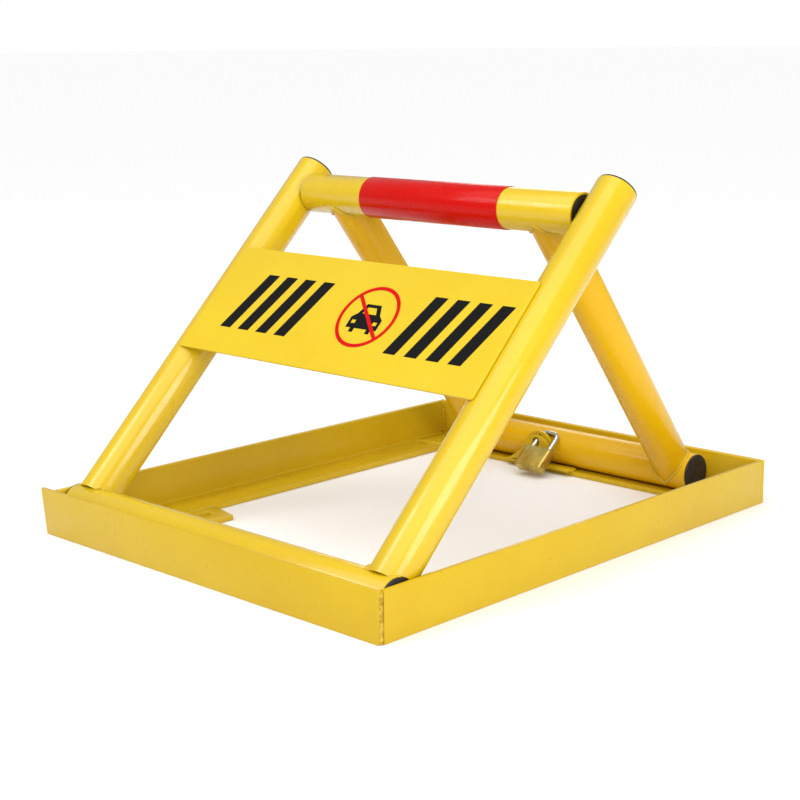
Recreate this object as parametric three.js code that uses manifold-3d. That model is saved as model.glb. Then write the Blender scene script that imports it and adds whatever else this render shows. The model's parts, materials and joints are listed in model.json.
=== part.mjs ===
// Folding parking lock: a welded angle-iron base, an A-frame of steel tube that folds down
// into it, and a brass padlock that ties the rear foot to the base. Millimetres, +Z up.
import * as THREE from 'three';
import { mergeVertices } from 'three/addons/utils/BufferGeometryUtils.js';
import Module from 'manifold-3d';

const wasm = await Module();
wasm.setup();

// ---- driving dimensions ----
const GAP = 0.3;
const ROUND = 40;
const ROUND_SMALL = 24;

const BASE_WIDTH = 476;
const BASE_DEPTH = 600;
const RAIL_HEIGHT = 48;
const RAIL_FLANGE = 51;
const RAIL_THICKNESS = 5;
const RAIL_TOE = 1.5;
const OVERHANG_TOP = 18;
const OVERHANG_FOOT = 11;

const TUBE_RADIUS = 21.25;
const TUBE_WALL = 2.5;
const BORE_RADIUS = TUBE_RADIUS - TUBE_WALL;
const CAP_THICKNESS = 2.2;
const CAP_SPIGOT = 14;
const CAP_EDGE = 0.8;
const PIN_RADIUS = 6;
const PIN_HOLE_RADIUS = 6.4;

const PIVOT_Y = -271;
const PIVOT_Z = 30.8;
const PIVOT_TUBE_LENGTH = 458;
const PIVOT_PIN_LENGTH = 34;
const LEAN = THREE.MathUtils.degToRad(44.8);
const FRONT_LEG_X = 210.5;
const FRONT_LEG_FOOT = 13;
const FRONT_LEG_TOP = 463;
const FOOT_PLUG_LENGTH = 12;
const CROSSBAR_REACH = 430.7;
const CROSSBAR_LENGTH = 377;
const CROSSBAR_PLUG_LENGTH = 20;
const CROSSBAR_PIN_LENGTH = 36;
const PIN_HEAD_RADIUS = 9;
const PIN_HEAD_LENGTH = 4;
const PIN_HEAD_X = 199.5;

const PANEL_WIDTH = 416;
const PANEL_BOTTOM = 194;
const PANEL_HEIGHT = 136;
const PANEL_THICKNESS = 2;
const PANEL_CORNER = 3;

const BAND_LENGTH = 193;
const BAND_THICKNESS = 0.5;

const REAR_FOOT_Y = 270.8;
const REAR_FOOT_Z = 26.9;
const REAR_FOOT_LENGTH = 335.4;
const REAR_LEG_X = 141;

const ANCHOR_HOLE_RADIUS = 6;
const ANCHOR_SLOT_LENGTH = 20;
const ANCHOR_SLOT_WIDTH = 9;
const ANCHOR_SLOT_CORNER = 4;
const ANCHOR_SLOT_IN = 20;
const ANCHOR_SLOT_Y = 237;
const TAB_REACH = 43;
const TAB_FRONT = -190;
const TAB_REAR = -126;
const TAB_REAR_SKEW = 10;
const TAB_HOLE_X = 169;
const TAB_HOLE_Y = -154;

const EAR_X = -35;
const EAR_THICKNESS = 3;
const EAR_GAP = 2;
const EAR_SEAT = REAR_FOOT_Y - TUBE_RADIUS - GAP;
const EAR_MIDDLE = EAR_SEAT - EAR_THICKNESS - EAR_GAP / 2;
const EAR_HOLE_RADIUS = 5.2;
const EAR_HOLE_X = -1;
const EAR_RIM = 3;
const EAR_RADIUS = 20;
const EAR_SHOULDER = 0.12;
const EAR_FOOT_HALF = 47;
const EAR_TREAD_DEPTH = 16;
const TUBE_EAR_BOTTOM = 20;

const LOCK_TILT = THREE.MathUtils.degToRad(40);
const LOCK_Z = 37.1;
const SHACKLE_X = -23.5;
const SHACKLE_SPACING = 25;
const SHACKLE_RADIUS = 2.6;
const SHACKLE_CROWN = 12;
const SHACKLE_BEND = 8.5;
const SHACKLE_HEEL = 18;
const SHACKLE_TOE = 10;
const CASE_TOP = -13;
const CASE_WIDTH = 38;
const CASE_HEIGHT = 30;
const CASE_DEPTH = 12;
const CASE_CORNER = 3;
const CASE_BEVEL = 1;
const HEEL_BORE = 25;
const TOE_BORE = 13;
const KEY_PLUG_RADIUS = 5;
const KEY_PLUG_LENGTH = 17;
const TAILPIECE_RADIUS = 1.5;
const TAILPIECE_LENGTH = 4;
const KEYWAY_WIDTH = 1.4;
const KEYWAY_HEIGHT = 6.4;
const KEYWAY_DEPTH = 11;
const BOLT_LENGTH = 8;
const BOLT_HEIGHT = 3.4;
const BOLT_DEPTH = 4;
const BOLT_DROP = 7;
const BOLT_BITE = 1.6;
const BOLT_TRAVEL = 1.8;
const BOLT_SPRING_LENGTH = 5.4;
const SHACKLE_SPRING_LENGTH = 5.6;
const SPRING_WIRE = 0.35;
const SPRING_TURNS = 4;
const SPRING_STEPS_PER_TURN = 12;
const SPRING_WIRE_SEGMENTS = 3;

// ---- finishes ----
const finish = (color, roughness, metalness) => () => (
  new THREE.MeshStandardMaterial({ color, roughness, metalness })
);
const yellowPaint = finish('#f2c81e', 0.35, 0);
const blackPlastic = finish('#1b191a', 0.5, 0);
const redFilm = finish('#d3160f', 0.25, 0);
const brass = finish('#bd9b41', 0.35, 1);
const chrome = finish('#c9ccd2', 0.15, 1);
const bareSteel = finish('#8f9296', 0.4, 1);

// ---- solids ----
function toSolid(geometry) {
  const bare = geometry.clone();
  bare.deleteAttribute('normal');
  bare.deleteAttribute('uv');
  const merged = mergeVertices(bare, 1e-4);
  const vertProperties = new Float32Array(merged.attributes.position.array);
  const triVerts = new Uint32Array(merged.index.array);
  return new wasm.Manifold(new wasm.Mesh({ numProp: 3, vertProperties, triVerts }));
}

function fromSolid(solid) {
  const { vertProperties, triVerts } = solid.getMesh();
  const geometry = new THREE.BufferGeometry();
  geometry.setAttribute('position', new THREE.BufferAttribute(new Float32Array(vertProperties), 3));
  geometry.setIndex(new THREE.BufferAttribute(new Uint32Array(triVerts), 1));
  geometry.computeVertexNormals();
  return geometry;
}

function cut(body, ...tools) {
  return fromSolid(tools.reduce((solid, tool) => solid.subtract(toSolid(tool)), toSolid(body)));
}

function join(body, ...more) {
  return fromSolid(more.reduce((solid, part) => solid.add(toSolid(part)), toSolid(body)));
}

// A turned shape along +X, from its [x, radius] profile.
function turned(profile, segments = ROUND) {
  const points = profile.map(([x, radius]) => new THREE.Vector2(radius, x));
  return new THREE.LatheGeometry(points, segments).rotateZ(-Math.PI / 2);
}

// A round bar along +X from x0 to x1.
function bar(radius, x0, x1, segments = ROUND) {
  return turned([[x0, 0], [x0, radius], [x1, radius], [x1, 0]], segments);
}

// A ring or tube along +X from x0 to x1.
function ring(inner, outer, x0, x1) {
  return turned([[x0, inner], [x0, outer], [x1, outer], [x1, inner], [x0, inner]]);
}

// A flat plate: a closed outline in X and Y, drawn up along +Z.
function plate(outline, thickness, holes = []) {
  const shape = outline instanceof THREE.Shape ? outline : new THREE.Shape(outline);
  shape.holes.push(...holes);
  return new THREE.ExtrudeGeometry(shape, { depth: thickness, bevelEnabled: false, curveSegments: 8 });
}

function roundedRectangle(width, height, corner) {
  const shape = new THREE.Shape();
  const x = width / 2 - corner;
  const y = height / 2 - corner;
  shape.absarc(x, y, corner, 0, Math.PI / 2, false);
  shape.absarc(-x, y, corner, Math.PI / 2, Math.PI, false);
  shape.absarc(-x, -y, corner, Math.PI, Math.PI * 1.5, false);
  shape.absarc(x, -y, corner, Math.PI * 1.5, Math.PI * 2, false);
  return shape;
}

function circlePath(x, y, radius) {
  return new THREE.Path().absarc(x, y, radius, 0, 2 * Math.PI, false);
}

function box(x0, x1, y0, y1, z0, z1) {
  return new THREE.BoxGeometry(x1 - x0, y1 - y0, z1 - z0)
    .translate((x0 + x1) / 2, (y0 + y1) / 2, (z0 + z1) / 2);
}

function named(name, geometry, material) {
  const mesh = new THREE.Mesh(geometry, material());
  mesh.name = name;
  return mesh;
}

// ---- base ----
// Angle iron along +X: its wall stands on the outside, y = 0, and its flange reaches to +Y.
function angleIron(length) {
  const section = new THREE.Shape();
  const root = RAIL_THICKNESS + 2 * RAIL_TOE;
  const toe = RAIL_THICKNESS - RAIL_TOE;
  section.moveTo(0, 0);
  section.lineTo(RAIL_FLANGE, 0);
  section.lineTo(RAIL_FLANGE, toe);
  section.absarc(RAIL_FLANGE - RAIL_TOE, toe, RAIL_TOE, 0, Math.PI / 2, false);
  section.absarc(root, root, 2 * RAIL_TOE, Math.PI * 1.5, Math.PI, true);
  section.lineTo(RAIL_THICKNESS, RAIL_HEIGHT - RAIL_TOE);
  section.absarc(toe, RAIL_HEIGHT - RAIL_TOE, RAIL_TOE, 0, Math.PI / 2, false);
  section.lineTo(0, RAIL_HEIGHT);
  return new THREE.ExtrudeGeometry(section, { depth: length, bevelEnabled: false, curveSegments: 3 })
    .rotateX(Math.PI / 2)
    .rotateZ(Math.PI / 2)
    .translate(-length / 2, 0, 0);
}

// An end rail's flange and fillet stop short of the side rails' walls.
function endRailBody() {
  const start = BASE_WIDTH / 2 - RAIL_THICKNESS - GAP;
  const trims = [[start, BASE_WIDTH], [-BASE_WIDTH, -start]].map(([x0, x1]) => box(
    x0, x1,
    RAIL_THICKNESS, 2 * RAIL_FLANGE,
    -1, RAIL_HEIGHT / 2,
  ));
  return cut(angleIron(BASE_WIDTH), ...trims);
}

// The front rail's wall runs on past the left rail, and its end is cut on a slant.
function frontRail() {
  const corner = -BASE_WIDTH / 2;
  const overhang = plate([
    new THREE.Vector2(corner + 1, 0),
    new THREE.Vector2(corner + 1, RAIL_HEIGHT),
    new THREE.Vector2(corner - OVERHANG_TOP, RAIL_HEIGHT),
    new THREE.Vector2(corner - OVERHANG_FOOT, 0),
  ], RAIL_THICKNESS - RAIL_TOE).rotateX(Math.PI / 2).translate(0, RAIL_THICKNESS - RAIL_TOE, 0);
  const mesh = named('front_rail', join(endRailBody(), overhang), yellowPaint);
  mesh.position.y = -BASE_DEPTH / 2;
  return mesh;
}

function rearRail() {
  const mesh = named('rear_rail', endRailBody(), yellowPaint);
  mesh.position.y = BASE_DEPTH / 2;
  mesh.rotation.z = Math.PI;
  return mesh;
}

// A side rail's wall fits between the end rails' walls, and its flange between their flanges.
function sideRail(name, side) {
  const length = BASE_DEPTH - 2 * (RAIL_THICKNESS + GAP);
  const overlap = 1;
  const clearance = (depth, height) => [-1, 1].map((end) => {
    const inner = end * (length / 2 - depth);
    const outer = end * (length / 2 + overlap);
    return box(
      Math.min(inner, outer), Math.max(inner, outer),
      RAIL_THICKNESS, RAIL_FLANGE + overlap,
      -overlap, height,
    );
  });
  const overFlanges = clearance(RAIL_FLANGE - RAIL_THICKNESS, RAIL_THICKNESS + GAP);
  const overFillets = clearance(2 * RAIL_TOE, RAIL_THICKNESS + 2 * RAIL_TOE + GAP);
  const slotOutline = roundedRectangle(ANCHOR_SLOT_WIDTH, ANCHOR_SLOT_LENGTH, ANCHOR_SLOT_CORNER);
  const slot = plate(slotOutline, 3 * RAIL_THICKNESS)
    .translate(side * ANCHOR_SLOT_Y, ANCHOR_SLOT_IN, -RAIL_THICKNESS);
  const mesh = named(name, cut(angleIron(length), ...overFlanges, ...overFillets, slot), yellowPaint);
  mesh.position.x = side * BASE_WIDTH / 2;
  mesh.rotation.z = side * Math.PI / 2;
  return mesh;
}

function anchorTab(name, side) {
  const edge = side * (BASE_WIDTH / 2 - RAIL_FLANGE - GAP);
  const tip = edge - side * TAB_REACH;
  const outline = new THREE.Shape([
    new THREE.Vector2(edge, TAB_FRONT),
    new THREE.Vector2(tip, TAB_FRONT),
    new THREE.Vector2(tip, TAB_REAR - TAB_REAR_SKEW),
    new THREE.Vector2(edge, TAB_REAR),
  ]);
  const hole = circlePath(side * TAB_HOLE_X, TAB_HOLE_Y, ANCHOR_HOLE_RADIUS);
  return named(name, plate(outline, RAIL_THICKNESS, [hole]), yellowPaint);
}

// ---- lock ears ----
function shackleHeightAt(y) {
  return LOCK_Z + (y - EAR_MIDDLE) * Math.tan(LOCK_TILT);
}

// The upright of a lock ear, its front face in y = 0, with a round head over the shackle's hole.
function earUpright(foot, footHalf, holeZ) {
  const head = new THREE.Shape();
  const headZ = holeZ + EAR_HOLE_RADIUS + EAR_RIM - EAR_RADIUS;
  head.moveTo(footHalf, foot);
  head.absarc(0, headZ, EAR_RADIUS, EAR_SHOULDER, Math.PI - EAR_SHOULDER, false);
  head.lineTo(-footHalf, foot);
  const hole = circlePath(EAR_HOLE_X, holeZ, EAR_HOLE_RADIUS);
  return plate(head, EAR_THICKNESS, [hole]).rotateX(Math.PI / 2).translate(0, EAR_THICKNESS, 0);
}

function baseLockEar() {
  const front = EAR_MIDDLE - EAR_GAP / 2 - EAR_THICKNESS;
  const foot = RAIL_THICKNESS + GAP;
  const upright = earUpright(foot, EAR_FOOT_HALF, shackleHeightAt(front + EAR_THICKNESS / 2));
  const tread = box(-EAR_FOOT_HALF, EAR_FOOT_HALF, 0, EAR_TREAD_DEPTH, foot, foot + EAR_THICKNESS);
  const mesh = named('base_lock_ear', join(upright, tread), yellowPaint);
  mesh.position.set(EAR_X, front, 0);
  return mesh;
}

// Drawn upright, as it stands when the frame is up, then handed to the rear frame.
function tubeLockEar() {
  const front = EAR_MIDDLE + EAR_GAP / 2;
  const upright = earUpright(TUBE_EAR_BOTTOM, EAR_RADIUS, shackleHeightAt(front + EAR_THICKNESS / 2));
  const mesh = named('tube_lock_ear', upright, yellowPaint);
  mesh.position.set(EAR_X, front, 0);
  return mesh;
}

function pivotPin(name, side) {
  const mesh = named(name, bar(PIN_RADIUS, 0, PIVOT_PIN_LENGTH, ROUND_SMALL), bareSteel);
  mesh.position.set(side * (BASE_WIDTH / 2 - RAIL_THICKNESS - GAP), PIVOT_Y, PIVOT_Z);
  mesh.rotation.z = side > 0 ? Math.PI : 0;
  return mesh;
}

// ---- plastic end pieces; each points along +X, out of its tube ----
function endCap(name, bore = 0) {
  const spigot = BORE_RADIUS - GAP;
  const profile = [
    [-CAP_SPIGOT, bore],
    [-CAP_SPIGOT, spigot - CAP_EDGE],
    [-CAP_SPIGOT + CAP_EDGE, spigot],
    [GAP, spigot],
    [GAP, TUBE_RADIUS - CAP_EDGE / 2],
    [GAP + CAP_THICKNESS - CAP_EDGE, TUBE_RADIUS - CAP_EDGE / 2],
    [GAP + CAP_THICKNESS, TUBE_RADIUS - 2 * CAP_EDGE],
    [GAP + CAP_THICKNESS, bore],
  ];
  if (bore > 0) profile.push([-CAP_SPIGOT, bore]);
  return named(name, turned(profile), blackPlastic);
}

function plug(name, length, bore = 0) {
  const radius = BORE_RADIUS - GAP;
  const profile = [[-length, bore], [-length, radius], [0, radius], [0, bore]];
  if (bore > 0) profile.push([-length, bore]);
  return named(name, turned(profile), blackPlastic);
}

// ---- front frame: local +Y runs up the legs, local +Z faces the front ----
function frontPivotTube() {
  const half = PIVOT_TUBE_LENGTH / 2;
  return named('front_pivot_tube', ring(BORE_RADIUS, TUBE_RADIUS, -half, half), yellowPaint);
}

function pivotCap(name, side) {
  const mesh = endCap(name, PIN_HOLE_RADIUS);
  mesh.position.x = side * PIVOT_TUBE_LENGTH / 2;
  mesh.rotation.z = side > 0 ? 0 : Math.PI;
  return mesh;
}

function frontLeg(name, side) {
  const wall = ring(BORE_RADIUS, TUBE_RADIUS, FRONT_LEG_FOOT, FRONT_LEG_TOP).rotateZ(Math.PI / 2);
  const pivotTube = bar(TUBE_RADIUS + GAP, -2 * TUBE_RADIUS, 2 * TUBE_RADIUS);
  const outward = side * -2 * TUBE_RADIUS;
  const pinHole = bar(PIN_HOLE_RADIUS, Math.min(0, outward), Math.max(0, outward), ROUND_SMALL)
    .translate(0, CROSSBAR_REACH, 0);
  const mesh = named(name, cut(wall, pinHole, pivotTube), yellowPaint);
  mesh.position.x = side * FRONT_LEG_X;
  return mesh;
}

function legTopCap(name, side) {
  const mesh = endCap(name);
  mesh.position.set(side * FRONT_LEG_X, FRONT_LEG_TOP, 0);
  mesh.rotation.z = Math.PI / 2;
  return mesh;
}

function legFootPlug(name, side) {
  const mesh = plug(name, FOOT_PLUG_LENGTH);
  mesh.position.set(side * FRONT_LEG_X, TUBE_RADIUS + 2 * GAP, 0);
  mesh.rotation.z = -Math.PI / 2;
  return mesh;
}

function signPanel() {
  const sheet = plate(roundedRectangle(PANEL_WIDTH, PANEL_HEIGHT, PANEL_CORNER), PANEL_THICKNESS);
  const mesh = named('sign_panel', sheet, yellowPaint);
  mesh.position.set(0, PANEL_BOTTOM + PANEL_HEIGHT / 2, TUBE_RADIUS + GAP);
  return mesh;
}

function crossbarPin(name, side) {
  const profile = [
    [0, 0],
    [0, PIN_HEAD_RADIUS],
    [PIN_HEAD_LENGTH, PIN_HEAD_RADIUS],
    [PIN_HEAD_LENGTH, PIN_RADIUS],
    [CROSSBAR_PIN_LENGTH, PIN_RADIUS],
    [CROSSBAR_PIN_LENGTH, 0],
  ];
  const mesh = named(name, turned(profile, ROUND_SMALL), bareSteel);
  mesh.position.set(side * PIN_HEAD_X, CROSSBAR_REACH, 0);
  mesh.rotation.z = side > 0 ? Math.PI : 0;
  return mesh;
}

// ---- rear frame: local +Y runs from the crossbar down to the foot tube ----
function crossbar() {
  const half = CROSSBAR_LENGTH / 2;
  return named('crossbar', ring(BORE_RADIUS, TUBE_RADIUS, -half, half), yellowPaint);
}

function crossbarPlug(name, side) {
  const mesh = plug(name, CROSSBAR_PLUG_LENGTH, PIN_HOLE_RADIUS);
  mesh.position.x = side * CROSSBAR_LENGTH / 2;
  mesh.rotation.z = side > 0 ? 0 : Math.PI;
  return mesh;
}

function reflectiveBand() {
  const inner = TUBE_RADIUS + GAP;
  const half = BAND_LENGTH / 2;
  return named('reflective_band', ring(inner, inner + BAND_THICKNESS, -half, half), redFilm);
}

// Both ends are coped to sit against the crossbar and the foot tube.
function rearLeg(name, side, reach) {
  const wall = ring(BORE_RADIUS, TUBE_RADIUS, 0, reach).rotateZ(Math.PI / 2);
  const upper = bar(TUBE_RADIUS + GAP, -2 * TUBE_RADIUS, 2 * TUBE_RADIUS);
  const lower = upper.clone().translate(0, reach, 0);
  const mesh = named(name, cut(wall, upper, lower), yellowPaint);
  mesh.position.x = side * REAR_LEG_X;
  return mesh;
}

function rearFootTube(reach) {
  const half = REAR_FOOT_LENGTH / 2;
  const mesh = named('rear_foot_tube', ring(BORE_RADIUS, TUBE_RADIUS, -half, half), yellowPaint);
  mesh.position.y = reach;
  return mesh;
}

function rearFootCap(name, side, reach) {
  const mesh = endCap(name);
  mesh.position.set(side * REAR_FOOT_LENGTH / 2, reach, 0);
  mesh.rotation.z = side > 0 ? 0 : Math.PI;
  return mesh;
}

// ---- padlock: local +Y runs up the shackle, local +Z is the front of the case ----
const HEEL_X = SHACKLE_SPACING / 2;
const TOE_X = -SHACKLE_SPACING / 2;
const CASE_BOTTOM = CASE_TOP - CASE_HEIGHT;
const BOLT_Y = CASE_TOP - BOLT_DROP;
const BOLT_TIP = TOE_X + SHACKLE_RADIUS - BOLT_BITE;

function upright(geometry, x, y = 0) {
  return geometry.rotateZ(Math.PI / 2).translate(x, y, 0);
}

function padlockShackle() {
  const bend = SHACKLE_CROWN - SHACKLE_BEND;
  const flat = HEEL_X - SHACKLE_BEND;
  const corners = [-1, 1].map((side) => cut(
    new THREE.TorusGeometry(SHACKLE_BEND, SHACKLE_RADIUS, 16, ROUND).translate(side * flat, bend, 0),
    box(-CASE_WIDTH, CASE_WIDTH, bend - CASE_WIDTH, bend, -CASE_WIDTH, CASE_WIDTH),
    box(
      Math.min(side * flat, -side * CASE_WIDTH), Math.max(side * flat, -side * CASE_WIDTH),
      bend - CASE_WIDTH, bend + CASE_WIDTH,
      -CASE_WIDTH, CASE_WIDTH,
    ),
  ));
  const overlap = GAP / 10;
  const crown = bar(SHACKLE_RADIUS, -flat - overlap, flat + overlap, 16).translate(0, SHACKLE_CROWN, 0);
  const heel = upright(bar(SHACKLE_RADIUS, CASE_TOP - SHACKLE_HEEL, bend + overlap, 16), HEEL_X);
  const toe = upright(bar(SHACKLE_RADIUS, CASE_TOP - SHACKLE_TOE, bend + overlap, 16), TOE_X);
  const notchHalf = BOLT_HEIGHT / 2 + GAP;
  const notch = box(
    BOLT_TIP - GAP, TOE_X + 2 * SHACKLE_RADIUS,
    BOLT_Y - notchHalf, BOLT_Y + notchHalf,
    -CASE_DEPTH, CASE_DEPTH,
  );
  return named('padlock_shackle', cut(join(crown, ...corners, heel, toe), notch), chrome);
}

function padlockCase() {
  const outline = roundedRectangle(CASE_WIDTH - 2 * CASE_BEVEL, CASE_HEIGHT - 2 * CASE_BEVEL, CASE_CORNER);
  const block = new THREE.ExtrudeGeometry(outline, {
    depth: CASE_DEPTH - 2 * CASE_BEVEL,
    bevelThickness: CASE_BEVEL,
    bevelSize: CASE_BEVEL,
    bevelSegments: 2,
    curveSegments: 4,
  }).translate(0, CASE_TOP - CASE_HEIGHT / 2, CASE_BEVEL - CASE_DEPTH / 2);
  const legBore = SHACKLE_RADIUS + GAP;
  const heelBore = upright(bar(legBore, CASE_TOP - HEEL_BORE, CASE_TOP + 1, 16), HEEL_X);
  const toeBore = upright(bar(legBore, CASE_TOP - TOE_BORE, CASE_TOP + 1, 16), TOE_X);
  const plugTop = CASE_BOTTOM + KEY_PLUG_LENGTH + GAP;
  const plugBore = upright(bar(KEY_PLUG_RADIUS + GAP, CASE_BOTTOM - 1, plugTop, ROUND_SMALL), 0);
  const tailBore = upright(bar(TAILPIECE_RADIUS + GAP, plugTop - 1, BOLT_Y, 16), 0);
  const chamberEnd = BOLT_TIP + BOLT_LENGTH + BOLT_SPRING_LENGTH + BOLT_TRAVEL + 3 * GAP;
  const chamber = box(
    TOE_X, chamberEnd,
    BOLT_Y - BOLT_HEIGHT / 2 - GAP, BOLT_Y + BOLT_HEIGHT / 2 + GAP,
    -BOLT_DEPTH / 2 - GAP, BOLT_DEPTH / 2 + GAP,
  );
  return named('padlock_case', cut(block, heelBore, toeBore, plugBore, tailBore, chamber), brass);
}

function padlockKeyPlug() {
  const body = upright(bar(KEY_PLUG_RADIUS, 0, KEY_PLUG_LENGTH, ROUND_SMALL), 0);
  const tailEnd = KEY_PLUG_LENGTH + TAILPIECE_LENGTH;
  const tailpiece = upright(bar(TAILPIECE_RADIUS, KEY_PLUG_LENGTH - 1, tailEnd, 16), 0);
  const keyway = box(
    -KEYWAY_WIDTH / 2, KEYWAY_WIDTH / 2,
    -1, KEYWAY_DEPTH,
    -KEYWAY_HEIGHT / 2, KEYWAY_HEIGHT / 2,
  );
  const mesh = named('padlock_key_plug', cut(join(body, tailpiece), keyway), brass);
  mesh.position.y = CASE_BOTTOM;
  return mesh;
}

function padlockBolt() {
  const half = BOLT_HEIGHT / 2;
  const ramp = half;
  const side = plate([
    new THREE.Vector2(0, -half),
    new THREE.Vector2(BOLT_LENGTH, -half),
    new THREE.Vector2(BOLT_LENGTH, half),
    new THREE.Vector2(ramp, half),
    new THREE.Vector2(0, 0),
  ], BOLT_DEPTH).translate(0, 0, -BOLT_DEPTH / 2);
  const mesh = named('padlock_bolt', side, bareSteel);
  mesh.position.set(BOLT_TIP, BOLT_Y, 0);
  return mesh;
}

class Helix extends THREE.Curve {
  constructor(radius, length, turns) {
    super();
    this.radius = radius;
    this.length = length;
    this.turns = turns;
  }

  getPoint(t) {
    const a = 2 * Math.PI * this.turns * t;
    return new THREE.Vector3(this.length * t, this.radius * Math.cos(a), this.radius * Math.sin(a));
  }
}

// A coil spring along +X, from 0 to its length.
function coilSpring(name, outer, length) {
  const wire = new THREE.Shape();
  wire.absarc(0, 0, SPRING_WIRE, 0, 2 * Math.PI, false);
  const path = new Helix(outer - SPRING_WIRE, length - 2 * SPRING_WIRE, SPRING_TURNS);
  const coil = new THREE.ExtrudeGeometry(wire, {
    steps: SPRING_STEPS_PER_TURN * SPRING_TURNS,
    extrudePath: path,
    curveSegments: SPRING_WIRE_SEGMENTS,
  });
  return named(name, coil.translate(SPRING_WIRE, 0, 0), bareSteel);
}

function boltSpring() {
  const mesh = coilSpring('padlock_bolt_spring', BOLT_HEIGHT / 2, BOLT_SPRING_LENGTH);
  mesh.position.set(BOLT_TIP + BOLT_LENGTH + GAP, BOLT_Y, 0);
  return mesh;
}

function shackleSpring() {
  const mesh = coilSpring('padlock_shackle_spring', SHACKLE_RADIUS - GAP, SHACKLE_SPRING_LENGTH);
  mesh.position.set(HEEL_X, CASE_TOP - SHACKLE_HEEL - GAP, 0);
  mesh.rotation.z = -Math.PI / 2;
  return mesh;
}

// ---- assembly ----
function group(name, ...parts) {
  const node = new THREE.Group();
  node.name = name;
  node.add(...parts);
  return node;
}

const SIDES = [['left', -1], ['right', 1]];
const crossbarY = PIVOT_Y + CROSSBAR_REACH * Math.cos(LEAN);
const crossbarZ = PIVOT_Z + CROSSBAR_REACH * Math.sin(LEAN);
const rearReach = Math.hypot(REAR_FOOT_Y - crossbarY, crossbarZ - REAR_FOOT_Z);

const base = group(
  'base',
  frontRail(),
  rearRail(),
  baseLockEar(),
  ...SIDES.flatMap(([side, sign]) => [
    sideRail(`${side}_rail`, sign),
    anchorTab(`${side}_anchor_tab`, sign),
    pivotPin(`${side}_pivot_pin`, sign),
  ]),
);

const frontFrame = group(
  'front_frame',
  frontPivotTube(),
  signPanel(),
  ...SIDES.flatMap(([side, sign]) => [
    pivotCap(`${side}_pivot_cap`, sign),
    frontLeg(`${side}_front_leg`, sign),
    legTopCap(`${side}_leg_top_cap`, sign),
    legFootPlug(`${side}_leg_foot_plug`, sign),
    crossbarPin(`${side}_crossbar_pin`, sign),
  ]),
);
frontFrame.position.set(0, PIVOT_Y, PIVOT_Z);
frontFrame.rotation.x = LEAN;

const rearFrame = group(
  'rear_frame',
  crossbar(),
  reflectiveBand(),
  rearFootTube(rearReach),
  ...SIDES.flatMap(([side, sign]) => [
    crossbarPlug(`${side}_crossbar_plug`, sign),
    rearLeg(`${side}_rear_leg`, sign, rearReach),
    rearFootCap(`${side}_rear_foot_cap`, sign, rearReach),
  ]),
);
rearFrame.position.set(0, crossbarY, crossbarZ);
rearFrame.rotation.x = Math.atan2(REAR_FOOT_Z - crossbarZ, REAR_FOOT_Y - crossbarY);

const padlock = group(
  'padlock',
  padlockShackle(),
  padlockCase(),
  padlockKeyPlug(),
  padlockBolt(),
  boltSpring(),
  shackleSpring(),
);
padlock.position.set(SHACKLE_X, EAR_MIDDLE, LOCK_Z);
padlock.rotation.x = LOCK_TILT;

const lock = group('folding_parking_lock', base, frontFrame, rearFrame, tubeLockEar(), padlock);
lock.position.x = OVERHANG_TOP / 2;

export default lock;
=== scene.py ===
"""Folding parking lock: an A-frame of steel tube hinged in a welded angle-iron base, held up by a padlock."""
import json
import math

import bmesh
import bpy
from mathutils import Matrix, Vector, noise

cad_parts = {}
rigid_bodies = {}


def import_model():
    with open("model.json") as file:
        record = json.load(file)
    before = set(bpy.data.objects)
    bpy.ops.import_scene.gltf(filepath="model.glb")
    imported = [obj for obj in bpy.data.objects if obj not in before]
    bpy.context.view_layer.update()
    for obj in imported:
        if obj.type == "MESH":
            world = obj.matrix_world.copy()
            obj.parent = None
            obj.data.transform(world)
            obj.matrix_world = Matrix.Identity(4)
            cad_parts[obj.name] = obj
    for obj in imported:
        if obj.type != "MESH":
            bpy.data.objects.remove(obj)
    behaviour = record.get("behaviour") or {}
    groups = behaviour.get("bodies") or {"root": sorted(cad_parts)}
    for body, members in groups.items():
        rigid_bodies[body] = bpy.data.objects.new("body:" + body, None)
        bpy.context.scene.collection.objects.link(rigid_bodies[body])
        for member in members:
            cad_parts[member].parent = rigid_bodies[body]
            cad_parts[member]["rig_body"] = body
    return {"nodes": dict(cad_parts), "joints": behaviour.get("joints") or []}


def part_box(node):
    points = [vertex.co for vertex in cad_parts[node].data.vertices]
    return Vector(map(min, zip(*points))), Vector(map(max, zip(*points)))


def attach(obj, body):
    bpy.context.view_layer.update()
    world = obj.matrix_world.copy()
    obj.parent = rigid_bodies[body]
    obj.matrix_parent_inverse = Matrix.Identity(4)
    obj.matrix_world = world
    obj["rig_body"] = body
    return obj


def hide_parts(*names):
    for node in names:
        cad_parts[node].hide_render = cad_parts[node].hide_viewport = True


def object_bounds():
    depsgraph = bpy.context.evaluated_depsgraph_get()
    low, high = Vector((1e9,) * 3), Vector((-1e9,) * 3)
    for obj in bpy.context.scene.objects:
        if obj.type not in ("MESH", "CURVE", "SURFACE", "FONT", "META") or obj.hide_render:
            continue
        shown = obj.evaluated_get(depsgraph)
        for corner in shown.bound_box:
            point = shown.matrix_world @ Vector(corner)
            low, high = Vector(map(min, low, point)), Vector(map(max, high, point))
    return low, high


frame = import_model()
cad_low, cad_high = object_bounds()

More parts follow.
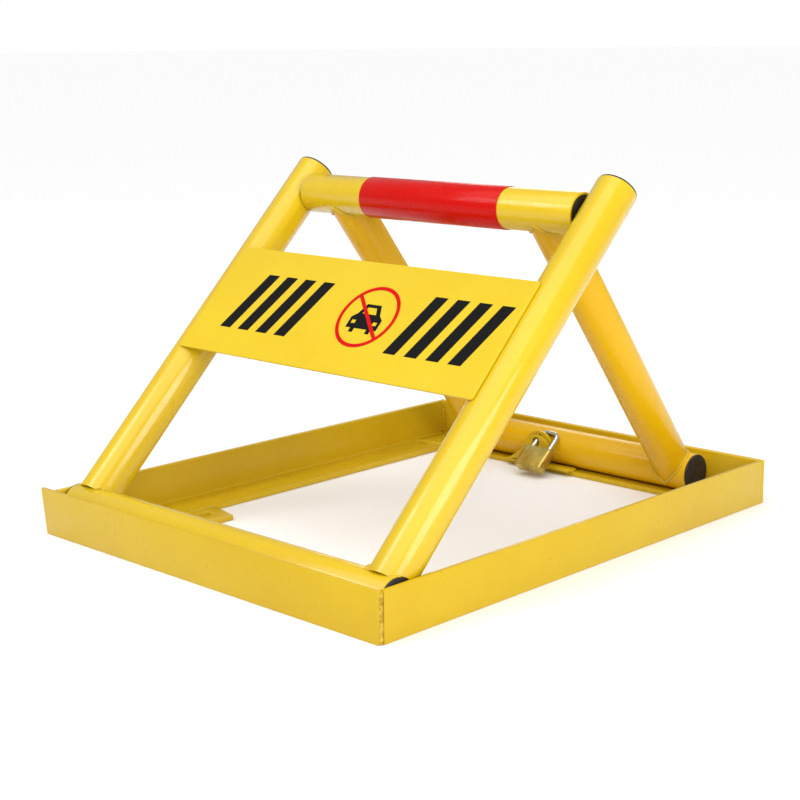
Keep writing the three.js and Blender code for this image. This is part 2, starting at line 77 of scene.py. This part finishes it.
# ---- Base rails ----
# Four lengths of 50 mm angle iron, their walls outside and their flanges flat on the ground.
# They are butt welded at the corners and coated with a glossy traffic-yellow powder paint. The front
# rail's right end stands a little back, which leaves room for the corner's bead.
MM = 0.001
MERGE_DISTANCE = 1e-6
FLAT_ANGLE = math.radians(0.3)
PAINT_YELLOW = (0.60, 0.405, 0.009)
PAINT_DEEP = (0.57, 0.37, 0.007)
PAINT_ROUGHNESS = (0.27, 0.4)
PAINT_PEEL_SCALE = 420
PAINT_PEEL_STRENGTH = 0.05
EDGE_ANGLE = math.radians(28)
SHARP_ANGLE = math.radians(32)
WELD_RECESS = 1.7 * MM
RECESS_REACH = 1 * MM


def start_finish(name):
    finish = bpy.data.materials.new(name)
    finish.use_nodes = True
    nodes = finish.node_tree.nodes
    return finish, nodes, finish.node_tree.links, nodes["Principled BSDF"]


def object_noise(nodes, links, scale, detail=2.0, stretch=(1, 1, 1)):
    coordinates = nodes.new("ShaderNodeTexCoord")
    mapping = nodes.new("ShaderNodeMapping")
    mapping.inputs["Scale"].default_value = stretch
    pattern = nodes.new("ShaderNodeTexNoise")
    pattern.inputs["Scale"].default_value = scale
    pattern.inputs["Detail"].default_value = detail
    links.new(coordinates.outputs["Object"], mapping.inputs["Vector"])
    links.new(mapping.outputs["Vector"], pattern.inputs["Vector"])
    return pattern


def spread(nodes, links, source, low, high, start=0.35, end=0.65):
    """A noise or pattern value turned into a range of numbers."""
    change = nodes.new("ShaderNodeMapRange")
    change.inputs["From Min"].default_value = start
    change.inputs["From Max"].default_value = end
    change.inputs["To Min"].default_value = low
    change.inputs["To Max"].default_value = high
    links.new(source, change.inputs["Value"])
    return change.outputs["Result"]


def two_tone(nodes, links, amount, first, second):
    mix = nodes.new("ShaderNodeMix")
    mix.data_type = "RGBA"
    mix.inputs["A"].default_value = (*first, 1)
    mix.inputs["B"].default_value = (*second, 1)
    links.new(amount, mix.inputs["Factor"])
    return mix.outputs["Result"]


def bump(nodes, links, height, strength, distance, under=None):
    relief = nodes.new("ShaderNodeBump")
    relief.inputs["Strength"].default_value = strength
    relief.inputs["Distance"].default_value = distance
    links.new(height, relief.inputs["Height"])
    if under is not None:
        links.new(under, relief.inputs["Normal"])
    return relief.outputs["Normal"]


def powder_paint(name, light=PAINT_YELLOW, deep=PAINT_DEEP, roughness=PAINT_ROUGHNESS, coat=0.08, gloss=0.25):
    """Powder coat: faint clouding of the colour, an orange-peel skin and a clear gloss."""
    finish, nodes, links, shader = start_finish(name)
    clouds = object_noise(nodes, links, 9, 3)
    amount = spread(nodes, links, clouds.outputs["Fac"], 0, 1)
    links.new(two_tone(nodes, links, amount, light, deep), shader.inputs["Base Color"])
    scuffs = object_noise(nodes, links, 55, 5)
    links.new(spread(nodes, links, scuffs.outputs["Fac"], *roughness), shader.inputs["Roughness"])
    waves = object_noise(nodes, links, 26, 2)
    slow = bump(nodes, links, waves.outputs["Fac"], 0.12, 0.0015)
    peel = object_noise(nodes, links, PAINT_PEEL_SCALE, 2)
    links.new(bump(nodes, links, peel.outputs["Fac"], PAINT_PEEL_STRENGTH, 0.0006, slow), shader.inputs["Normal"])
    shader.inputs["Specular IOR Level"].default_value = gloss
    shader.inputs["Coat Weight"].default_value = coat
    shader.inputs["Coat Roughness"].default_value = 0.12
    return finish


def dressed(node, finish, slot, edge=0.4, segments=2, name=None):
    """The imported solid, its skin merged and smoothed and its edges broken, as the finished piece."""
    shell = bmesh.new()
    shell.from_mesh(frame["nodes"][node].data)
    bmesh.ops.remove_doubles(shell, verts=shell.verts, dist=MERGE_DISTANCE)
    bmesh.ops.dissolve_limit(
        shell, angle_limit=FLAT_ANGLE, verts=shell.verts, edges=shell.edges, use_dissolve_boundaries=False)
    for face in shell.faces:
        face.smooth = True
    if edge > 0:
        sharp = [e for e in shell.edges if len(e.link_faces) == 2 and e.calc_face_angle() > EDGE_ANGLE]
        bmesh.ops.bevel(
            shell, geom=sharp, offset=edge * MM, offset_type="OFFSET", affect="EDGES", segments=segments,
            profile=0.5, material=-1, clamp_overlap=True)
        for face in shell.faces:
            face.smooth = True
    for e in shell.edges:
        e.smooth = len(e.link_faces) != 2 or e.calc_face_angle() < SHARP_ANGLE
    bmesh.ops.triangulate(shell, faces=[f for f in shell.faces if len(f.verts) > 4])
    return finished_piece(name or f"{node}_skin", shell, finish, slot, frame["nodes"][node]["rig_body"], node)


def finished_piece(name, shell, finish, slot, body, *nodes):
    mesh = bpy.data.meshes.new(name)
    shell.to_mesh(mesh)
    shell.free()
    piece = bpy.data.objects.new(name, mesh)
    bpy.context.scene.collection.objects.link(piece)
    mesh.materials.append(finish)
    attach(piece, body)
    if nodes:
        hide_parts(*nodes)
    return piece


rail_paint = powder_paint("yellow powder paint, rails")
for rail in ("front_rail", "rear_rail", "left_rail", "right_rail"):
    skin = dressed(rail, rail_paint, "yellow_paint", edge=0.5)
    if rail == "front_rail":
        for vertex in skin.data.vertices:
            if vertex.co.x > cad_high.x - RECESS_REACH:
                vertex.co.x -= WELD_RECESS

# ---- Anchor tabs ----
# Two drilled plates welded flush to the side flanges, one each side, for the ground anchors.
tab_paint = powder_paint("yellow powder paint, tabs")
for tab in ("left_anchor_tab", "right_anchor_tab"):
    dressed(tab, tab_paint, "yellow_paint", edge=0.5)

# ---- Front frame tubes ----
# 42 mm steel tube with a 2.5 mm wall: a pivot tube across the front and two legs welded onto it.
# The welds are thickly painted over, and the coat is glossier on the round tubes.
tube_paint = powder_paint(
    "yellow powder paint, tubes", light=(0.66, 0.455, 0.007), deep=(0.63, 0.42, 0.006), roughness=(0.2, 0.32),
    coat=0.35, gloss=0.35)
for tube in ("front_pivot_tube", "left_front_leg", "right_front_leg"):
    dressed(tube, tube_paint, "yellow_paint", edge=0.35)

# ---- Rear frame tubes ----
# The crossbar hangs between the front legs; two coped legs join it to the foot tube. Legs and foot
# tube wear the same paint as the crossbar. Their base colour is made a deeper orange as painted shade,
# standing in for the light the frame's members reflect onto each other, and their coat is less glossy.
rear_paint_painted_shade = powder_paint(
    "yellow powder paint with painted shade, rear tubes", light=(0.72, 0.42, 0.003), deep=(0.68, 0.385, 0.002),
    roughness=(0.24, 0.36), coat=0.12, gloss=0.25)
dressed("crossbar", tube_paint, "yellow_paint", edge=0.3)
for tube in ("left_rear_leg", "right_rear_leg", "rear_foot_tube"):
    dressed(tube, rear_paint_painted_shade, "yellow_paint", edge=0.3)

# ---- Sign panel ----
# A 2 mm steel sheet welded across the front legs, painted, with a printed film on its face.
panel_paint = powder_paint("yellow powder paint, panel", light=(0.67, 0.475, 0.014), deep=(0.65, 0.45, 0.012))
dressed("sign_panel", panel_paint, "yellow_paint", edge=0.3)

# ---- Sign graphics ----
# Screen-printed film: a red no-parking ring over a plain black car, between two blocks of black
# hazard bars. Each print is a skin a tenth of a millimetre thick on the panel's face.
joints = {joint["name"]: joint for joint in frame["joints"]}
front_pivot = Vector(joints["front_raise"]["pos_m"])
cross_pivot = Vector(joints["rear_fold"]["pos_m"])
leg_run = (cross_pivot - front_pivot).normalized()
across = Vector((1, 0, 0))
leg_face = across.cross(leg_run).normalized()
panel_low, panel_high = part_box("sign_panel")
FRAME_X = (panel_low.x + panel_high.x) / 2
PANEL_FACE = 23.55 * MM
PANEL_MIDDLE = 262 * MM
PRINT_LIFT = 0.03 * MM
PRINT_THICKNESS = 0.1 * MM
RING_CENTRE = (28 * MM, 2 * MM)
RING_OUTER = 37.5 * MM
RING_WIDTH = 4 * MM
SLASH_WIDTH = 4 * MM
RING_PARTS = 96
panel_place = Matrix.Translation(
    front_pivot + leg_run * PANEL_MIDDLE + leg_face * (PANEL_FACE + PRINT_LIFT) + across * (FRAME_X - front_pivot.x)
) @ Matrix((across, leg_run, leg_face)).transposed().to_4x4()


def printing_ink(name, colour, roughness):
    finish, nodes, links, shader = start_finish(name)
    grain = object_noise(nodes, links, 130, 4)
    amount = spread(nodes, links, grain.outputs["Fac"], 0, 1)
    darker = tuple(c * 0.82 for c in colour)
    links.new(two_tone(nodes, links, amount, colour, darker), shader.inputs["Base Color"])
    links.new(spread(nodes, links, grain.outputs["Fac"], roughness, roughness + 0.12), shader.inputs["Roughness"])
    links.new(bump(nodes, links, grain.outputs["Fac"], 0.05, 0.0004), shader.inputs["Normal"])
    shader.inputs["Specular IOR Level"].default_value = 0.1
    return finish


def printed(name, outlines, finish, slot, layer=0):
    """Flat shapes in the panel's plane, given a print's thickness. layer raises one print over another."""
    shell = bmesh.new()
    for outline in outlines:
        corners = [shell.verts.new((x, y, 0)) for x, y in outline]
        shell.faces.new(corners)
    bmesh.ops.remove_doubles(shell, verts=shell.verts, dist=MERGE_DISTANCE)
    bmesh.ops.recalc_face_normals(shell, faces=shell.faces)
    for face in shell.faces:
        if face.normal.z < 0:
            face.normal_flip()
    raised = bmesh.ops.extrude_face_region(shell, geom=shell.faces[:])
    tops = [v for v in raised["geom"] if isinstance(v, bmesh.types.BMVert)]
    bmesh.ops.translate(shell, vec=(0, 0, PRINT_THICKNESS), verts=tops)
    bmesh.ops.recalc_face_normals(shell, faces=shell.faces)
    bmesh.ops.translate(shell, vec=(0, 0, layer * (PRINT_THICKNESS + PRINT_LIFT)), verts=shell.verts)
    bmesh.ops.transform(shell, matrix=panel_place, verts=shell.verts)
    return finished_piece(name, shell, finish, slot, "front_frame")


def ring_outline():
    parts = []
    for i in range(RING_PARTS):
        a, b = (2 * math.pi * k / RING_PARTS for k in (i, i + 1))
        inner = RING_OUTER - RING_WIDTH
        parts.append([
            (RING_CENTRE[0] + r * math.cos(t), RING_CENTRE[1] + r * math.sin(t))
            for r, t in ((inner, a), (RING_OUTER, a), (RING_OUTER, b), (inner, b))])
    return parts


black_ink = printing_ink("black sign ink", (0.004, 0.004, 0.004), 0.42)
red_ink = printing_ink("red sign ink", (0.60, 0.002, 0.002), 0.42)

CAR = [(-21, -15), (-21, -2), (-15, 3), (-9.5, 15), (9.5, 15), (15, 3), (21, -2), (21, -15),
       (14, -15), (14, -20), (8.5, -20), (8.5, -15), (-8.5, -15), (-8.5, -20), (-14, -20), (-14, -15)]
LAMP_PLACE = (14.5, -7.5)
LAMP_HALF = (2.6, 2)
SLASH_REACH = 0.6
CAR_WINDOW = [(-9.3, 3.2), (-5.6, 11), (5.6, 11), (9.3, 3.2)]
car = [(RING_CENTRE[0] + x * MM, RING_CENTRE[1] + y * MM) for x, y in CAR]
printed("sign_car", [car], black_ink, "black_plastic")
window = [(RING_CENTRE[0] + x * MM, RING_CENTRE[1] + y * MM) for x, y in CAR_WINDOW]
window_ink = printing_ink("yellow sign ink", (0.67, 0.475, 0.014), 0.34)
printed("sign_car_window", [window], window_ink, "yellow_paint", layer=1)
lamp_x, lamp_y = LAMP_HALF
lamps = [[(RING_CENTRE[0] + (side * LAMP_PLACE[0] + x) * MM, RING_CENTRE[1] + (LAMP_PLACE[1] + y) * MM)
          for x, y in ((-lamp_x, -lamp_y), (lamp_x, -lamp_y), (lamp_x, lamp_y), (-lamp_x, lamp_y))]
         for side in (-1, 1)]
printed("sign_car_lamps", lamps, window_ink, "yellow_paint", layer=1)

BAR_TOP = 36 * MM
BAR_WIDTH = 16 * MM
BAR_SLANT = 24 * MM
BAR_PITCH = 28 * MM
BAR_COUNT = 4
for side, first in (("left", -166), ("right", 74)):
    bars = []
    for k in range(BAR_COUNT):
        foot = first * MM + k * BAR_PITCH
        bars.append([(foot, -BAR_TOP), (foot + BAR_WIDTH, -BAR_TOP),
                     (foot + BAR_WIDTH + BAR_SLANT, BAR_TOP), (foot + BAR_SLANT, BAR_TOP)])
    printed(f"sign_{side}_bars", bars, black_ink, "black_plastic")

reach = RING_OUTER - RING_WIDTH * SLASH_REACH
slash_run = Vector((-0.72, 0.69)).normalized()
slash_side = Vector((-slash_run.y, slash_run.x)) * SLASH_WIDTH / 2
centre = Vector(RING_CENTRE)
slash = [centre - slash_run * reach - slash_side, centre + slash_run * reach - slash_side,
         centre + slash_run * reach + slash_side, centre - slash_run * reach + slash_side]
printed("sign_ring", ring_outline(), red_ink, "red_film", layer=2)
printed("sign_slash", [[tuple(p) for p in slash]], red_ink, "red_film", layer=3)

# ---- Red band ----
# A sleeve of red reflective film wrapped once round the middle of the crossbar. Its moulded
# honeycomb cells catch headlights, and a clear top layer makes it glossy.
red_film, nodes, links, shader = start_finish("red reflective film")
cells = nodes.new("ShaderNodeTexVoronoi")
cells.feature = "DISTANCE_TO_EDGE"
cells.inputs["Scale"].default_value = 420
coordinates = nodes.new("ShaderNodeTexCoord")
links.new(coordinates.outputs["Object"], cells.inputs["Vector"])
cell_edge = spread(nodes, links, cells.outputs["Distance"], 1, 0, 0.0, 0.09)
film_colour = two_tone(nodes, links, cell_edge, (0.56, 0.002, 0.0), (0.42, 0.001, 0.0))
links.new(film_colour, shader.inputs["Base Color"])
smears = object_noise(nodes, links, 40, 3)
links.new(spread(nodes, links, smears.outputs["Fac"], 0.2, 0.34), shader.inputs["Roughness"])
links.new(bump(nodes, links, cell_edge, 0.05, 0.0002), shader.inputs["Normal"])
shader.inputs["Coat Weight"].default_value = 0.06
shader.inputs["Specular IOR Level"].default_value = 0.15
shader.inputs["Coat Roughness"].default_value = 0.06
dressed("reflective_band", red_film, "red_film", edge=0.12)

# ---- Plastic caps and plugs ----
# Black polypropylene, pushed into every open tube end: lipped caps on the leg tops, the foot tube
# and the pivot tube, and bored plugs in the crossbar that its pins turn in.
CAP_BLACK = (0.016, 0.013, 0.014)
cap_black, nodes, links, shader = start_finish("black polypropylene")
mottle = object_noise(nodes, links, 90, 4)
amount = spread(nodes, links, mottle.outputs["Fac"], 0, 1)
links.new(two_tone(nodes, links, amount, CAP_BLACK, (0.03, 0.026, 0.027)), shader.inputs["Base Color"])
links.new(spread(nodes, links, mottle.outputs["Fac"], 0.34, 0.52), shader.inputs["Roughness"])
spark = object_noise(nodes, links, 1400, 1)
links.new(bump(nodes, links, spark.outputs["Fac"], 0.12, 0.0002), shader.inputs["Normal"])
shader.inputs["Specular IOR Level"].default_value = 0.25
for side in ("left", "right"):
    for cap in ("leg_top_cap", "rear_foot_cap", "pivot_cap"):
        dressed(f"{side}_{cap}", cap_black, "black_plastic", edge=0.35)
    for plug in ("leg_foot_plug", "crossbar_plug"):
        dressed(f"{side}_{plug}", cap_black, "black_plastic", edge=0.5)

# ---- Pivot pins ----
# Plain turned steel: stubs welded into the side rails carry the pivot tube, and headed pins pass
# from inside the front legs into the crossbar's plugs.
turned_steel, nodes, links, shader = start_finish("turned steel")
TURNING_STRETCH = (40, 1, 1)
turning = object_noise(nodes, links, 60, 3, TURNING_STRETCH)
amount = spread(nodes, links, turning.outputs["Fac"], 0, 1)
links.new(two_tone(nodes, links, amount, (0.36, 0.36, 0.37), (0.24, 0.24, 0.25)), shader.inputs["Base Color"])
links.new(spread(nodes, links, turning.outputs["Fac"], 0.28, 0.45), shader.inputs["Roughness"])
links.new(bump(nodes, links, turning.outputs["Fac"], 0.15, 0.0002), shader.inputs["Normal"])
shader.inputs["Metallic"].default_value = 1
for side in ("left", "right"):
    for pin in ("pivot_pin", "crossbar_pin"):
        dressed(f"{side}_{pin}", turned_steel, "bare_steel", edge=0.5)

# ---- Lock ears ----
# Two 3 mm plates with one hole through both: one bent foot welded to the rear rail's flange, the
# other welded upright to the front of the foot tube. The padlock's shackle joins them.
ear_paint = powder_paint("yellow powder paint, ears")
for ear in ("base_lock_ear", "tube_lock_ear"):
    dressed(ear, ear_paint, "yellow_paint", edge=0.5)

# ---- Weld beads ----
# Hand-laid steel beads, rippled where the arc paused, and painted over with everything else. The
# bead on the front right corner is left rough and has lost its paint.
BEAD_STEP = 0.55
bead_paint = powder_paint("yellow powder paint, welds", roughness=(0.26, 0.42), coat=0.5)
bare_bead, nodes, links, shader = start_finish("scorched weld")
scorch = object_noise(nodes, links, 260, 5)
amount = spread(nodes, links, scorch.outputs["Fac"], 0, 1, 0.4, 0.6)
links.new(two_tone(nodes, links, amount, (0.62, 0.42, 0.02), (0.40, 0.22, 0.012)), shader.inputs["Base Color"])
links.new(spread(nodes, links, scorch.outputs["Fac"], 0.35, 0.7), shader.inputs["Roughness"])
links.new(bump(nodes, links, scorch.outputs["Fac"], 0.5, 0.0006), shader.inputs["Normal"])


def weld_bead(name, path, radius, body, finish=bead_paint, slot="yellow_paint", wander=0.25):
    """A row of overlapping drops along a path, each a little out of line and out of size."""
    shell = bmesh.new()
    path = [Vector(p) for p in path]
    travelled = 0.0
    step = radius * BEAD_STEP
    for start, end in zip(path, path[1:]):
        length = (end - start).length
        while travelled <= length:
            place = start.lerp(end, travelled / length)
            drift = noise.noise_vector(place * 700) * radius * wander
            size = radius * (1 + wander * noise.noise(place * 900))
            bmesh.ops.create_icosphere(
                shell, subdivisions=2, radius=size, matrix=Matrix.Translation(place + drift))
            travelled += step
        travelled -= length
    for vertex in shell.verts:
        for k in range(3):
            vertex.co[k] = min(max(vertex.co[k], cad_low[k]), cad_high[k])
    for face in shell.faces:
        face.smooth = True
    return finished_piece(name, shell, finish, slot, body)


TUBE_RADIUS = 21.25 * MM
LEG_X = 210.5 * MM
REAR_LEG_X = 141 * MM
frame_middle = Vector((FRAME_X, 0, 0))
foot_low, foot_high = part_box("rear_foot_tube")
foot_axis = Vector((0, (foot_low.y + foot_high.y) / 2, (foot_low.z + foot_high.z) / 2))
cross_axis = Vector((0, cross_pivot.y, cross_pivot.z))
pivot_axis = Vector((0, front_pivot.y, front_pivot.z))
rear_run = (foot_axis - cross_axis).normalized()
rear_face = across.cross(rear_run).normalized()


def saddle(origin, run, face, x, outward, radius, turn=(0, 360), parts=48):
    """Where a leg of the tube's own size meets a tube lying across it."""
    points = []
    for i in range(parts + 1):
        t = math.radians(turn[0] + (turn[1] - turn[0]) * i / parts)
        along = outward * radius * abs(math.cos(t))
        points.append(frame_middle + origin + across * (x + radius * math.cos(t))
                      + face * radius * math.sin(t) + run * along)
    return points


for side, sign in (("left", -1), ("right", 1)):
    for name, origin, outward in (("top", cross_axis, 1), ("foot", foot_axis, -1)):
        seam = saddle(origin, rear_run, rear_face, sign * REAR_LEG_X, outward, TUBE_RADIUS + 0.4 * MM)
        weld_bead(f"{side}_rear_leg_{name}_weld", seam, 1.7 * MM, "rear_frame", wander=0.16)

PANEL_WELD_STARTS = (204, 252, 300)
PANEL_WELD_LENGTH = 18
LEG_FOOT_WELDS = {
    "left": (("outer", (128, 150), 1.6), ("inner", (-34, 34), 3.0)),
    "right": (("outer", (30, 52), 1.6), ("inner", (136, 214), 3.6)),
}
for side, sign in (("left", -1), ("right", 1)):
    for name, turn, bead in LEG_FOOT_WELDS[side]:
        seam = saddle(pivot_axis, leg_run, leg_face, sign * LEG_X, 1, TUBE_RADIUS - 0.6 * MM, turn, 14)
        weld_bead(f"{side}_leg_{name}_weld", seam, bead * MM, "front_frame")
    for i, start in enumerate(PANEL_WELD_STARTS):
        seam = [
            frame_middle + pivot_axis + across * sign * (LEG_X - 9.5 * MM) + leg_face * 20.4 * MM
            + leg_run * (start + part) * MM for part in (0, PANEL_WELD_LENGTH)]
        weld_bead(f"{side}_panel_weld_{i + 1}", seam, 1.5 * MM, "front_frame")

right_low, right_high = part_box("right_rail")
front_low, front_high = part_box("front_rail")
rear_low, rear_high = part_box("rear_rail")
left_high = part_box("left_rail")[1]
weld_bead(
    "front_right_corner_weld",
    [(right_high.x - 2.1 * MM, right_low.y - (2.3 + drift) * MM, z * MM)
     for z, drift in ((2.5, 0.2), (16, -0.3), (31, 0.3), (46, 0))],
    2.3 * MM, "base", bare_bead, "yellow_paint", wander=0.3)
corner_x = {"left": rear_low.x + 5 * MM, "right": rear_high.x - 5 * MM}
corner_y = {"front": front_low.y + 5 * MM, "rear": rear_high.y - 5 * MM}
for side in ("left", "right"):
    for end in ("front", "rear"):
        seam = [(corner_x[side], corner_y[end], z * MM) for z in (8, 45)]
        weld_bead(f"{end}_{side}_inner_corner_weld", seam, 1.8 * MM, "base")
    inner = {"left": left_high.x, "right": right_low.x}[side]
    for end, y in (("front", front_high.y + 0.15 * MM), ("rear", rear_low.y - 0.15 * MM)):
        inset = 1.5 * MM if side == "left" else -1.5 * MM
        seam = [(corner_x[side] + 4 * inset, y, 4.6 * MM), (inner - inset, y, 4.6 * MM)]
        weld_bead(f"{end}_{side}_flange_weld", seam, 1.3 * MM, "base", wander=0.2)
    tab_low, tab_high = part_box(f"{side}_anchor_tab")
    seam = [(inner, y, 4.4 * MM) for y in (tab_low.y + 2 * MM, tab_high.y - 2 * MM)]
    weld_bead(f"{side}_tab_weld", seam, 1.5 * MM, "base")

ear_low, ear_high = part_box("base_lock_ear")
for side, x in (("left", ear_low.x), ("right", ear_high.x)):
    seam = [(x, y, 6.2 * MM) for y in (ear_low.y + 8 * MM, ear_high.y - 1 * MM)]
    weld_bead(f"base_ear_{side}_weld", seam, 1.7 * MM, "base")
ear_low, ear_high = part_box("tube_lock_ear")
for side, x in (("left", ear_low.x + 0.6 * MM), ("right", ear_high.x - 0.6 * MM)):
    seam = [(x, ear_high.y + 0.3 * MM, z * MM) for z in (22, 32)]
    weld_bead(f"tube_ear_{side}_weld", seam, 1.1 * MM, "rear_frame", wander=0.2)

# ---- Padlock ----
# A 38 mm brass padlock: a milled solid case, brushed along its length, with a hardened and
# chrome-plated shackle, a brass key plug in its underside, and a sprung steel bolt inside.
key_axis = Vector(joints["key_turn"]["axis"])
lock_tilt = math.atan2(key_axis.z, key_axis.y)
BRASS_LIGHT = (0.66, 0.52, 0.14)
BRASS_DARK = (0.42, 0.31, 0.06)
brushed_brass, nodes, links, shader = start_finish("brushed brass")
coordinates = nodes.new("ShaderNodeTexCoord")
square = nodes.new("ShaderNodeMapping")
square.inputs["Rotation"].default_value = (-lock_tilt, 0, 0)
stretch = nodes.new("ShaderNodeMapping")
stretch.inputs["Scale"].default_value = (60, 1.5, 60)
links.new(coordinates.outputs["Object"], square.inputs["Vector"])
links.new(square.outputs["Vector"], stretch.inputs["Vector"])
brushing = nodes.new("ShaderNodeTexNoise")
brushing.inputs["Scale"].default_value = 40
brushing.inputs["Detail"].default_value = 5
links.new(stretch.outputs["Vector"], brushing.inputs["Vector"])
tarnish = object_noise(nodes, links, 75, 4)
amount = spread(nodes, links, tarnish.outputs["Fac"], 0, 1, 0.3, 0.75)
links.new(two_tone(nodes, links, amount, BRASS_LIGHT, BRASS_DARK), shader.inputs["Base Color"])
links.new(spread(nodes, links, brushing.outputs["Fac"], 0.24, 0.46), shader.inputs["Roughness"])
links.new(bump(nodes, links, brushing.outputs["Fac"], 0.35, 0.0002), shader.inputs["Normal"])
shader.inputs["Metallic"].default_value = 1
dressed("padlock_case", brushed_brass, "brass", edge=0.35)
dressed("padlock_key_plug", brushed_brass, "brass", edge=0.25)

chrome, nodes, links, shader = start_finish("chrome plate")
smudge = object_noise(nodes, links, 120, 3)
amount = spread(nodes, links, smudge.outputs["Fac"], 0, 1)
links.new(two_tone(nodes, links, amount, (0.72, 0.73, 0.76), (0.6, 0.61, 0.64)), shader.inputs["Base Color"])
links.new(spread(nodes, links, smudge.outputs["Fac"], 0.1, 0.22), shader.inputs["Roughness"])
shader.inputs["Metallic"].default_value = 1
dressed("padlock_shackle", chrome, "chrome", edge=0.25)
for part in ("padlock_bolt", "padlock_bolt_spring", "padlock_shackle_spring"):
    dressed(part, turned_steel, "bare_steel", edge=0)

# ---- Floor, light and camera ----
# A pale studio floor under broad soft lights, seen from the lock's front right corner.
FLOOR_HALF = 150
FLOOR_DROP = 0.4 * MM
ROOM_STRENGTH = 0.45
floor_shell = bmesh.new()
bmesh.ops.create_grid(floor_shell, x_segments=1, y_segments=1, size=FLOOR_HALF)
bmesh.ops.translate(floor_shell, vec=(0, 0, -FLOOR_DROP), verts=floor_shell.verts)
floor_mesh = bpy.data.meshes.new("floor")
floor_shell.to_mesh(floor_mesh)
floor_shell.free()
floor = bpy.data.objects.new("floor", floor_mesh)
bpy.context.scene.collection.objects.link(floor)
paper, nodes, links, shader = start_finish("white paper")
shader.inputs["Base Color"].default_value = (0.9, 0.9, 0.9, 1)
shader.inputs["Roughness"].default_value = 0.9
shader.inputs["Specular IOR Level"].default_value = 0.1
floor_mesh.materials.append(paper)

studio = bpy.data.worlds.new("studio")
studio.use_nodes = True
nodes = studio.node_tree.nodes
links = studio.node_tree.links
backdrop = nodes["Background"]
backdrop.inputs["Color"].default_value = (1, 1, 1, 1)
backdrop.inputs["Strength"].default_value = 1
room = nodes.new("ShaderNodeBackground")
room.inputs["Color"].default_value = (1, 1, 1, 1)
room.inputs["Strength"].default_value = ROOM_STRENGTH
seen = nodes.new("ShaderNodeLightPath")
choose = nodes.new("ShaderNodeMixShader")
links.new(seen.outputs["Is Camera Ray"], choose.inputs["Fac"])
links.new(room.outputs["Background"], choose.inputs[1])
links.new(backdrop.outputs["Background"], choose.inputs[2])
links.new(choose.outputs["Shader"], nodes["World Output"].inputs["Surface"])
bpy.context.scene.world = studio

sun = bpy.data.lights.new("overhead", "SUN")
SUN_STRENGTH = 2.3
SUN_SPREAD = math.radians(80)
sun.energy = SUN_STRENGTH
sun.angle = SUN_SPREAD
overhead = bpy.data.objects.new("overhead", sun)
overhead.rotation_euler = Vector((-0.15, 0.5, -1)).to_track_quat("-Z", "Y").to_euler()
bpy.context.scene.collection.objects.link(overhead)

AIM_POINT = Vector((0, 0, 0.15))
LAMPS = {
    "key": ((-0.9, -1.9, 1.7), 0.8, 10),
    "right fill": ((2.3, -0.5, 0.8), 1.2, 28),
    "back edge": ((-1.4, 2.2, 1.4), 1.0, 8),
}
for name, (place, size, power) in LAMPS.items():
    light = bpy.data.lights.new(name, "AREA")
    light.shape = "SQUARE"
    light.size = size
    light.energy = power
    lamp = bpy.data.objects.new(name, light)
    lamp.location = place
    lamp.rotation_euler = (AIM_POINT - Vector(place)).to_track_quat("-Z", "Y").to_euler()
    bpy.context.scene.collection.objects.link(lamp)

CAMERA_PLACE = (1.1684, -1.2287, 0.4953)
CAMERA_YAW = math.radians(43.96)
CAMERA_PITCH = math.radians(12.21)
CAMERA_ROLL = math.radians(-0.51)
ahead = Vector((
    -math.sin(CAMERA_YAW) * math.cos(CAMERA_PITCH), math.cos(CAMERA_YAW) * math.cos(CAMERA_PITCH),
    -math.sin(CAMERA_PITCH)))
level = Vector((math.cos(CAMERA_YAW), math.sin(CAMERA_YAW), 0))
upward = level.cross(ahead)
camera_x = math.cos(CAMERA_ROLL) * level + math.sin(CAMERA_ROLL) * upward
camera_y = -math.sin(CAMERA_ROLL) * level + math.cos(CAMERA_ROLL) * upward
lens = bpy.data.cameras.new("camera")
lens.lens = 73.9
lens.sensor_width = 36
camera = bpy.data.objects.new("camera", lens)
camera.matrix_world = Matrix.Translation(CAMERA_PLACE) @ Matrix(
    (camera_x, camera_y, -ahead)).transposed().to_4x4()
bpy.context.scene.collection.objects.link(camera)
bpy.context.scene.camera = camera
bpy.context.scene.view_settings.view_transform = "Standard"
